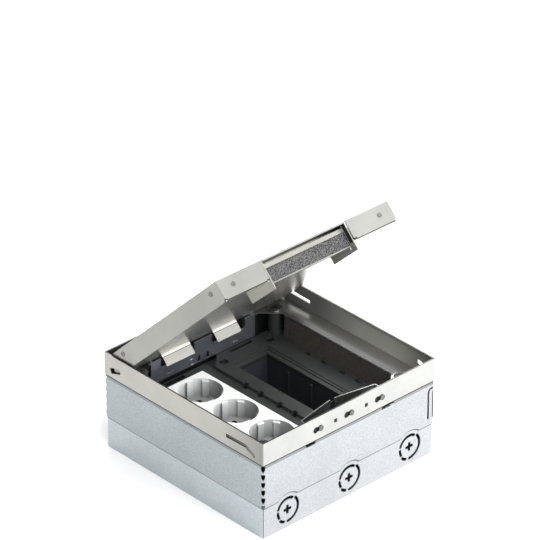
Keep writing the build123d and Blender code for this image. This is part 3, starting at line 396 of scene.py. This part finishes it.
def foam_look(name):
    """Open-cell foam: dark pores between pale strands."""
    look = Look(name, roughness=0.95)
    pores = look.cells(900.0).outputs["Distance"]
    fine = look.noise(scale=1050.0, detail=1.0, roughness=0.5)
    deep = look.ramp(pores, linear(8, 8, 8), linear(52, 52, 52), start=0.1, end=0.5)
    strands = look.ramp(fine, linear(5, 5, 5), linear(104, 104, 104), start=0.43, end=0.57)
    look.colour(look.mix(deep, strands, factor=0.7))
    look.bump(pores, depth=0.6 * MM, strength=0.9)
    look.bump(fine, depth=0.3 * MM, strength=0.8)
    return look.material


def reach_of(look):
    """How far a point lies from the middle of the square box, along x or y, whichever is more."""
    x, y, _ = look.axes()
    return look.calc("MAXIMUM", look.calc("ABSOLUTE", x), look.calc("ABSOLUTE", y))


def lid_axes(look):
    """How far a point of the lid lies behind and above the hinge with the lid shut."""
    _, y, z = look.axes()
    behind = look.calc("SUBTRACT", y, lid_hinge.y)
    above = look.calc("SUBTRACT", z, lid_hinge.z)
    sine = math.sin(lid_open)
    cosine = math.cos(lid_open)
    back = look.calc("SUBTRACT", look.times(behind, cosine), look.times(above, sine))
    height = look.calc("ADD", look.times(behind, sine), look.times(above, cosine))
    return back, height


def frame_shade(look, tone):
    """Painted light on the frame: a cooler outer front for the light it reflects, lighter inner faces, and painted
    shade on inner faces by the hinge, on ledges and their lips, on the right wall, on cut edges, in the rear-left
    corner and on left-facing faces near the front.
    """
    x, y, z = look.axes()
    reach = reach_of(look)
    inside = look.before(reach, FRAME_INSIDE)
    to_front = look.facing(FRONT)
    to_left = look.facing(LEFT)
    ledge = look.square_on(UP)
    look.extra_roughness = look.times(inside, INSIDE_EXTRA_ROUGHNESS)
    # Painted reflection: a cooler tint on the outer front
    outer_front = look.times(look.calc("SUBTRACT", 1.0, inside), to_front)
    tone = look.paint(tone, outer_front, look.tinted(tone, FRONT_REFLECTION_TINT))
    # Painted light: inner faces get a much lighter copy of the steel's colour
    tone = look.paint(tone, inside, linear(243, 243, 237))
    # Painted shade on inner faces turned to the front, by the hinge, and on the ledges
    tone = look.paint(tone, look.times(inside, to_front), linear(74, 74, 72), amount=0.85)
    tone = look.paint(tone, ledge, linear(84, 83, 81), amount=0.85)
    # Painted shade on the right inner wall towards the hinge and rim, and on the ledges' inner lips
    towards_rim = look.times(look.past(z, FRAME_TO_RIM), RIM_SHARE)
    darker = look.calc("MAXIMUM", look.past(y, FRAME_TO_HINGE), towards_rim)
    right_wall = look.times(inside, to_left, darker)
    lip = look.times(ledge, look.before(reach, FRAME_LIP), LIP_SHARE)
    tone = look.paint(tone, look.calc("MAXIMUM", right_wall, lip), look.tinted(tone, SHADED_TINT))
    # Painted shade on the cut faces of the sheet's edges and holes
    cut = look.times(look.past(reach, FRAME_CUT_STARTS), look.before(reach, FRAME_CUT_ENDS))
    tone = look.paint(tone, cut, linear(24, 25, 22), amount=0.9)
    # Painted shade in the rear-left inner corner by the hinge
    corner = look.times(inside, look.before(x, FRAME_CORNER_X), look.past(y, FRAME_CORNER_Y))
    tone = look.paint(tone, corner, linear(34, 34, 33), amount=0.85)
    # Painted shade on left-facing faces near the front
    near_end = look.times(look.before(y, FRAME_NEAR_END), to_left)
    return look.paint(tone, near_end, linear(128, 127, 124), amount=0.9)


def box_shade(look, tone):
    """Painted shade: a dark line under the sleeve's lower edge and round its bumps, darker zinc on all but the
    left-facing faces, and dark inner faces.
    """
    x, _, z = look.axes()
    # Painted shade on all faces but the left-facing ones
    tone = look.mix(look.tinted(tone, BOX_SHADE_TINT), tone, factor=look.facing(LEFT))
    off_middle = look.calc("ABSOLUTE", x)
    off_outer = look.calc("ABSOLUTE", look.calc("SUBTRACT", off_middle, KNOCKOUT_PITCH))
    across = look.calc("MINIMUM", off_middle, off_outer)
    height = look.calc("SUBTRACT", z, KNOCKOUT_Z)
    away = look.calc("SQRT", look.calc("ADD", look.times(across, across), look.times(height, height)))
    above = look.calc("SUBTRACT", z, SLEEVE_BOTTOM)
    beyond = look.calc("SUBTRACT", away, BUMP_RADIUS)
    covered = look.calc("MINIMUM", above, beyond)
    # Painted shadow of the sleeve's lower edge: a dark line under it and round its bumps
    seam = look.times(look.past(covered, SEAM_STARTS), look.before(covered, SEAM_ENDS))
    tone = look.paint(tone, seam, linear(52, 54, 56), amount=0.7)
    # Painted shade on the box's inner faces
    return look.paint(tone, look.before(reach_of(look), BOX_INSIDE), linear(60, 62, 64), amount=0.8)


def sleeve_shade(look, tone):
    """Painted light: a less blue front for the light it reflects, painted shade as a band and two dark lines at
    the hem along the top, and painted darkness in and below the front's two slots.
    """
    x, y, z = look.axes()
    hem = look.past(z, HEM_STARTS)
    front = look.before(y, SLEEVE_FRONT)
    # Painted reflection: a less blue tint on the front
    tone = look.paint(tone, front, look.tinted(tone, SLEEVE_FRONT_REFLECTION_TINT))
    # Painted shade: grey band of the hem under the frame's overhang, stronger on the front
    hem_shade = look.calc("ADD", HEM_SHARE, look.times(front, HEM_FRONT_SHARE))
    tone = look.paint(tone, look.times(hem, hem_shade), linear(70, 72, 74))
    # Painted shade lines at the hem's lower edge and in the gap under the frame
    low_line = look.times(hem, look.before(z, HEM_LOW_LINE), HEM_LOW_LINE_SHARE)
    top_line = look.times(look.past(z, HEM_TOP_LINE), HEM_TOP_LINE_SHARE)
    tone = look.paint(tone, look.calc("MAXIMUM", low_line, top_line), linear(40, 41, 42))
    # Painted shade: the front's two slots blackened, and below them, for their dark openings
    off_centre = look.calc("ABSOLUTE", look.calc("SUBTRACT", x, SLOT_SHIFT))
    off_slot = look.calc("ABSOLUTE", look.calc("SUBTRACT", off_centre, SLOT_PITCH))
    slot = look.times(look.before(off_slot, SLOT_END), front, look.past(z, SLOT_BOTTOM))
    return look.paint(tone, slot, linear(8, 8, 8))


def flap_shade(look, tone):
    """Underside of the flap painted lighter for what it reflects, with a painted shade line along its front fold.
    """
    # Painted reflection: underside of the flap painted lighter
    under = look.square_on(LID_DOWN)
    tone = look.paint(tone, under, linear(246, 246, 240), amount=0.9)
    # Painted shade line along the front fold of the underside
    fold = look.before(lid_axes(look)[0], FLAP_FOLD)
    return look.paint(tone, look.times(under, fold), linear(14, 14, 14), amount=0.95)


def tray_lid_shade(look, tone):
    """Painted shade on the floor of the lid's tray, and a painted shade line in the gap along the lower edge of
    its front.
    """
    # Painted shade on the tray's upward floor
    tone = look.paint(tone, look.facing(LID_UP), linear(116, 116, 112), amount=0.7)
    # Painted shade line in the gap along the lower edge of the front
    joint = look.times(look.before(lid_axes(look)[1], LID_JOINT), look.facing(LID_FRONT))
    return look.paint(tone, joint, linear(30, 30, 30), amount=0.85)


def outlet_shade(look, tone):
    """Painted shade on the inner end of the outlet on the right, above the lid's underside."""
    # Painted shade on the outlet's right inner end
    right_end = look.times(look.facing(LEFT), look.past(look.axes()[0], OUTLET_RIGHT))
    above = look.past(lid_axes(look)[1], OUTLET_ABOVE_LID)
    return look.paint(tone, look.times(right_end, above), linear(16, 16, 16), amount=0.95)


def lid_shade(look, tone):
    """Painted shade on the tabs, in darker copies of the sheet's colour, with a painted shade line at their bend
    near the root.
    """
    below = look.calc("SUBTRACT", TAB_ROOT, lid_axes(look)[1])
    look.extra_roughness = look.times(look.past(below, TAB_START), TAB_EXTRA_ROUGHNESS)
    # Painted shade: tabs and their flanges in darker copies of the sheet's colour
    tone = look.paint(tone, look.past(below, TAB_SHADED), linear(152, 151, 147))
    tone = look.paint(tone, look.past(below, TAB_FLANGE), linear(144, 143, 139))
    # Painted shade line at the tabs' bend near the root
    bend = look.times(look.past(below, TAB_BEND_STARTS), look.before(below, TAB_BEND_ENDS))
    return look.paint(tone, bend, linear(26, 26, 26), amount=0.9)


def tray_shade(look, tone):
    """Painted light: the floor of the data bay's tray is lighter where it faces up."""
    # Painted light on upward faces
    return look.paint(tone, look.square_on(UP), linear(56, 61, 64))


def guard_shade(look, tone):
    """Painted highlights on the upper edges of the dark wings."""
    # Painted highlight on upward faces
    return look.paint(tone, look.square_on(UP), linear(150, 152, 152), amount=0.8)


def hinge_shade(look, tone):
    """Painted highlights on the upper edges of the teeth and on the plate's end on the left."""
    # Painted highlight on the left end, and on upward faces
    pale = look.before(look.axes()[0], HINGE_HIGHLIGHT_END)
    tone = look.paint(tone, pale, linear(190, 190, 186), amount=0.7)
    return look.paint(tone, look.square_on(UP), linear(255, 255, 252))


def socket_shade(look, tone):
    """White with painted shade: duller down in the cups, most on walls turned away from the light, and dark below.
    """
    z = look.axes()[2]
    # Painted shade down in the cups
    tone = look.paint(tone, look.before(z, CUP_DEPTH), linear(150, 152, 152))
    cup = look.before(z, CUP_RIM)
    tone = look.paint(tone, cup, linear(120, 122, 122), amount=0.3)
    # Painted shade on cup walls turned away from the light
    turned = look.times(cup, look.facing(AWAY_FROM_LIGHT))
    tone = look.paint(tone, turned, linear(96, 99, 99), amount=0.9)
    # Painted shade below the cup floors
    return look.paint(tone, look.before(z, CUP_FLOOR), linear(22, 22, 22))


def insert_shade(look, tone):
    """Painted shade in the recesses below the plate's two levels, towards the bay side and beyond the outer ends,
    and brownish mottled side walls.
    """
    x, y, z = look.axes()
    # Painted shade in the recesses below the plate's two levels
    level = look.calc("ADD", look.times(look.past(x, PLATE_STEP_X), PLATE_STEP), PLATE_LOW)
    recess = look.past(look.calc("SUBTRACT", level, z), RECESS_DEPTH)
    tone = look.paint(tone, recess, linear(12, 13, 13), amount=0.85)
    # Painted shade towards the bay side
    tone = look.paint(tone, look.past(x, PLATE_BAY_SIDE), linear(22, 24, 24), amount=0.35)
    off_middle = look.calc("ABSOLUTE", y)
    # Painted shade beyond the insert's outer ends
    tone = look.paint(tone, look.past(off_middle, INSERT_OUTSIDE), linear(5, 5, 5), amount=0.9)
    mottle = look.noise(scale=420.0, detail=5.0, roughness=0.7)
    mottle = look.ramp(mottle, linear(52, 48, 46), linear(78, 72, 68), start=0.3, end=0.7)
    side_wall = look.past(look.calc("ABSOLUTE", x), SIDE_WALL_X)
    side_wall = look.times(side_wall, look.before(off_middle, SIDE_WALL_END))
    return look.paint(tone, side_wall, mottle)


# Scales of the brushed lines along x, y and z
LINES_ALONG_WALLS = (9, 9, 2600)
LINES_ALONG_LID = (9, 1500, 1500)
LINES_ACROSS_LID = (1500, 9, 9)

stainless_wall = sheet_steel(
    "stainless_wall", linear(167, 165, 159), linear(157, 155, 150),
    metallic=0.92, rough=(0.24, 0.36), grain=LINES_ALONG_WALLS, shade=frame_shade,
)
stainless_lid = sheet_steel(
    "stainless_lid", linear(150, 150, 145), linear(140, 140, 135),
    metallic=0.92, rough=(0.26, 0.38), grain=LINES_ALONG_LID, shade=tray_lid_shade,
)
base_galvanised = galvanised(
    "galvanised_box", linear(194, 201, 204), linear(152, 160, 164),
    rough=(0.32, 0.5), shade=box_shade,
)
sleeve_galvanised = galvanised(
    "galvanised_sleeve", linear(173, 178, 181), linear(130, 138, 142),
    rough=(0.32, 0.5), shade=sleeve_shade,
)
lid_galvanised = sheet_steel(
    "galvanised_lid", linear(222, 221, 214), linear(214, 213, 206),
    metallic=0.9, rough=(0.2, 0.26), grain=LINES_ALONG_LID, shade=lid_shade, relief=0.06,
)
flap_steel = sheet_steel(
    "flap_steel", linear(150, 150, 145), linear(140, 140, 135),
    metallic=0.8, rough=(0.3, 0.4), grain=LINES_ALONG_LID, shade=flap_shade,
)
bracket_galvanised = galvanised(
    "galvanised_bracket", linear(172, 172, 166), linear(162, 162, 157),
    rough=(0.36, 0.48), spangle=600.0,
)
outlet_steel = sheet_steel(
    "outlet_steel", linear(150, 150, 143), linear(136, 136, 129),
    metallic=0.85, rough=(0.3, 0.42), grain=LINES_ACROSS_LID, shade=outlet_shade,
)
dark_zinc = plated("dark_zinc", linear(70, 72, 74), linear(52, 54, 56), rough=(0.35, 0.5), metallic=0.8)
hinge_zinc = plated(
    "hinge_zinc", linear(140, 144, 153), linear(132, 136, 145),
    rough=(0.28, 0.42), metallic=0.9, shade=hinge_shade,
)
screw_zinc = plated("screw_zinc", linear(52, 54, 54), linear(38, 40, 40), rough=(0.35, 0.5), metallic=0.8)
guard_black = plated("guard_black", linear(26, 27, 26), linear(18, 19, 18), rough=(0.5, 0.65), metallic=0.2)
guard_zinc = plated(
    "guard_zinc", linear(102, 104, 102), linear(88, 90, 88),
    rough=(0.28, 0.4), metallic=0.8, shade=guard_shade,
)
collar_zinc = plated("collar_zinc", linear(150, 150, 146), linear(118, 118, 114), rough=(0.2, 0.32))
clip_zinc = plated("clip_zinc", linear(198, 200, 200), linear(180, 182, 182), rough=(0.4, 0.55), metallic=0.4)
bright_zinc = plated("bright_zinc", linear(214, 214, 208), linear(184, 184, 178), rough=(0.18, 0.32))
stud_zinc = plated("stud_zinc", linear(104, 102, 98), linear(84, 82, 78), rough=(0.3, 0.42))
rivet_steel = plated("rivet_steel", linear(126, 126, 122), linear(98, 98, 95), rough=(0.3, 0.42))
brass = plated("brass", linear(214, 178, 104), linear(186, 148, 78), rough=(0.2, 0.34))
insert_plastic = moulding(
    "insert_plastic", linear(45, 49, 47), linear(36, 40, 39), rough=(0.5, 0.7), shade=insert_shade,
)
tray_plastic = moulding(
    "tray_plastic", linear(36, 40, 45), linear(30, 33, 38), rough=(0.45, 0.6), shade=tray_shade,
)
socket_plastic = moulding(
    "socket_plastic", linear(236, 237, 237), linear(231, 232, 233), rough=(0.28, 0.4), shade=socket_shade,
    grain=2200.0, depth=0.01 * MM,
)
foam = foam_look("open_cell_foam")

SLOT_LOOKS = {
    "galvanised_steel": bracket_galvanised,
    "stainless_steel": stainless_wall,
    "zinc_plate": dark_zinc,
    "bright_zinc": bright_zinc,
    "dark_moulding": insert_plastic,
    "white_moulding": socket_plastic,
    "brass": brass,
    "grey_foam": foam,
}
NODE_LOOKS = {
    "base_box": base_galvanised,
    "height_sleeve": sleeve_galvanised,
    "lid_tray": stainless_lid,
    "cord_flap": flap_steel,
    "lid_base_plate": lid_galvanised,
    "bay_tray": tray_plastic,
    "guard_bracket": guard_black,
    "guard_wings": guard_zinc,
    "guard_studs": stud_zinc,
    "insert_screws": screw_zinc,
    "earth_clips": clip_zinc,
    "hinge_plate": hinge_zinc,
    "level_collars": collar_zinc,
    "lid_rivets": rivet_steel,
    "outlet_bracket": outlet_steel,
    "foam_frame": outlet_steel,
}


def dress(piece, material):
    piece.data.materials.clear()
    piece.data.materials.append(material)


for part in frame["record"]["subparts"]:
    dress(nodes[part["node"]], NODE_LOOKS.get(part["node"], SLOT_LOOKS[part["material_slot"]]))

# Foam: how far it stays inside its solid, its mesh size, and the pits where its cells are cut open
FOAM_MARGIN_MM = 0.2
FOAM_CELL = 0.9 * MM
PIT_DEPTH = 0.9 * MM
PIT_SCALE = 1300.0
FINE_PIT_SCALE = 2900.0
FINE_PIT_SHARE = 0.5
ON_FACE = 0.999


def closed_box(node):
    """Corners of a lid node in closed-lid coordinates."""
    back_turn = lid_turn.inverted()
    points = [back_turn @ vertex.co for vertex in nodes[node].data.vertices]
    low = Vector([min(p[axis] for p in points) for axis in range(3)])
    high = Vector([max(p[axis] for p in points) for axis in range(3)])
    return low, high


def foam_mesh():
    """Open-cell foam strip: a fine mesh whose faces are pitted."""
    low, high = closed_box("foam_strip")
    margin = Vector([FOAM_MARGIN_MM] * 3) * MM
    low += margin
    high -= margin
    counts = [max(2, round((high[i] - low[i]) / FOAM_CELL)) for i in range(3)]
    mesh = bmesh.new()
    bmesh.ops.create_cube(mesh, size=1.0)
    for axis, count in enumerate(counts):
        edges = [e for e in mesh.edges if abs((e.verts[0].co - e.verts[1].co)[axis]) > 0.5]
        bmesh.ops.subdivide_edges(mesh, edges=edges, cuts=count - 1, use_grid_fill=True)
    for vertex in mesh.verts:
        at = Vector([low[i] + (vertex.co[i] + 0.5) * (high[i] - low[i]) for i in range(3)])
        outward = Vector([2 * c if abs(2 * c) > ON_FACE else 0.0 for c in vertex.co])
        if outward.length > 0:
            pit = abs(noise.noise(at * PIT_SCALE)) + FINE_PIT_SHARE * abs(noise.noise(at * FINE_PIT_SCALE))
            at -= outward.normalized() * pit * PIT_DEPTH
        vertex.co = lid_turn @ at
    data = bpy.data.meshes.new("foam_block")
    mesh.to_mesh(data)
    mesh.free()
    for polygon in data.polygons:
        polygon.use_smooth = True
    return data


def place_object(name, data):
    thing = bpy.data.objects.new(name, data)
    bpy.context.scene.collection.objects.link(thing)
    return thing


foam_block = place_object("foam_block", foam_mesh())
dress(foam_block, foam)
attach(foam_block, "flap")
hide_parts("foam_strip")

# Floor, a plain sheet just under the box
FLOOR_HALF = 12.0
FLOOR_GAP = 0.05 * MM
floor_mesh = bpy.data.meshes.new("floor")
floor_corners = [(x * FLOOR_HALF, y * FLOOR_HALF, 0) for x, y in ((-1, -1), (1, -1), (1, 1), (-1, 1))]
floor_mesh.from_pydata(floor_corners, [], [(0, 1, 2, 3)])
floor = place_object("floor", floor_mesh)
floor.location.z = cad_low.z - FLOOR_GAP
floor_look = Look("floor_paper", roughness=0.9)
paper = floor_look.noise(scale=3.0, detail=2.0)
floor_look.colour(floor_look.ramp(paper, linear(246, 246, 245), linear(248, 248, 247), start=0.3, end=0.7))
dress(floor, floor_look.material)

# Soft square lamps: name, place, target, size in metres, watts, spread in degrees
BOX_MIDDLE = (0, 0, 0.05)
LAMPS = (
    ("key", (-0.7, -1.6, 1.7), BOX_MIDDLE, 1.2, 29.6, 180.0),
    ("front", (0.3, -2.2, 0.9), BOX_MIDDLE, 1.0, 44.0, 180.0),
    ("right", (1.95, -1.0, 1.0), BOX_MIDDLE, 1.0, 24.0, 180.0),
    ("back_right", (1.4, 1.3, 1.6), BOX_MIDDLE, 1.0, 22.0, 180.0),
    ("back_left", (-1.3, 1.4, 1.6), BOX_MIDDLE, 1.0, 4.6, 180.0),
    ("pool", (0.35, -0.5, 1.4), (0.3, -0.4, 0), 0.6, 4.0, 80.0),
)
for name, place, target, size, watts, spread in LAMPS:
    lamp = bpy.data.lights.new(name, "AREA")
    lamp.shape = "SQUARE"
    lamp.size = size
    lamp.energy = watts
    lamp.spread = math.radians(spread)
    light = place_object(name, lamp)
    light.location = place
    away = Vector(place) - Vector(target)
    light.rotation_euler = away.to_track_quat("Z", "Y").to_euler()

# Soft studio all round: an even base and a broad glow from each of five directions
SKY_COLOUR = (0.97, 0.985, 1.0, 1.0)
SKY_BASE = 0.16
SKY_GLOWS = (
    ((0.5, -0.86, 0.1), 0.42),
    ((0.9, 0.3, 0.3), 0.26),
    ((-0.9, 0.1, 0.3), 0.34),
    ((0.0, 0.9, 0.4), 0.21),
    ((0.0, 0.0, 1.0), 0.32),
)
world = bpy.data.worlds.new("studio")
bpy.context.scene.world = world
world.use_nodes = True
sky_tree = world.node_tree
sky = sky_tree.nodes["Background"]
sky.inputs["Color"].default_value = SKY_COLOUR
sky_place = sky_tree.nodes.new("ShaderNodeTexCoord")
sky_sum = None
for direction, strength in SKY_GLOWS:
    towards = sky_tree.nodes.new("ShaderNodeVectorMath")
    towards.operation = "DOT_PRODUCT"
    towards.inputs[1].default_value = Vector(direction).normalized()
    sky_tree.links.new(sky_place.outputs["Generated"], towards.inputs[0])
    glow = sky_tree.nodes.new("ShaderNodeMapRange")
    glow.inputs["To Max"].default_value = strength
    sky_tree.links.new(towards.outputs["Value"], glow.inputs["Value"])
    total = sky_tree.nodes.new("ShaderNodeMath")
    total.inputs[1].default_value = SKY_BASE
    sky_tree.links.new(glow.outputs["Result"], total.inputs[0])
    if sky_sum:
        sky_tree.links.new(sky_sum, total.inputs[1])
    sky_sum = total.outputs["Value"]
sky_tree.links.new(sky_sum, sky.inputs["Strength"])

scene = bpy.context.scene
scene.view_settings.view_transform = "Standard"
scene.view_settings.look = "None"

camera_data = bpy.data.cameras.new("camera")
camera_data.sensor_width = SENSOR_MM
camera_data.lens = PHOTO_FOCAL_PIXELS / PHOTO_PIXELS * SENSOR_MM
camera_data.clip_start = VIEW_NEAREST
camera_data.clip_end = VIEW_FARTHEST
camera = place_object("camera", camera_data)
level = math.cos(VIEW_ELEVATION)
back = Vector((math.sin(VIEW_AZIMUTH) * level, -math.cos(VIEW_AZIMUTH) * level, math.sin(VIEW_ELEVATION)))
right = Vector((math.cos(VIEW_AZIMUTH), math.sin(VIEW_AZIMUTH), 0))
up = back.cross(right)
camera.location = back * VIEW_DISTANCE + right * VIEW_SHIFT_RIGHT + up * VIEW_SHIFT_UP
camera.matrix_world = Matrix.Translation(camera.location) @ Matrix((right, up, back)).transposed().to_4x4()
scene.camera = camera
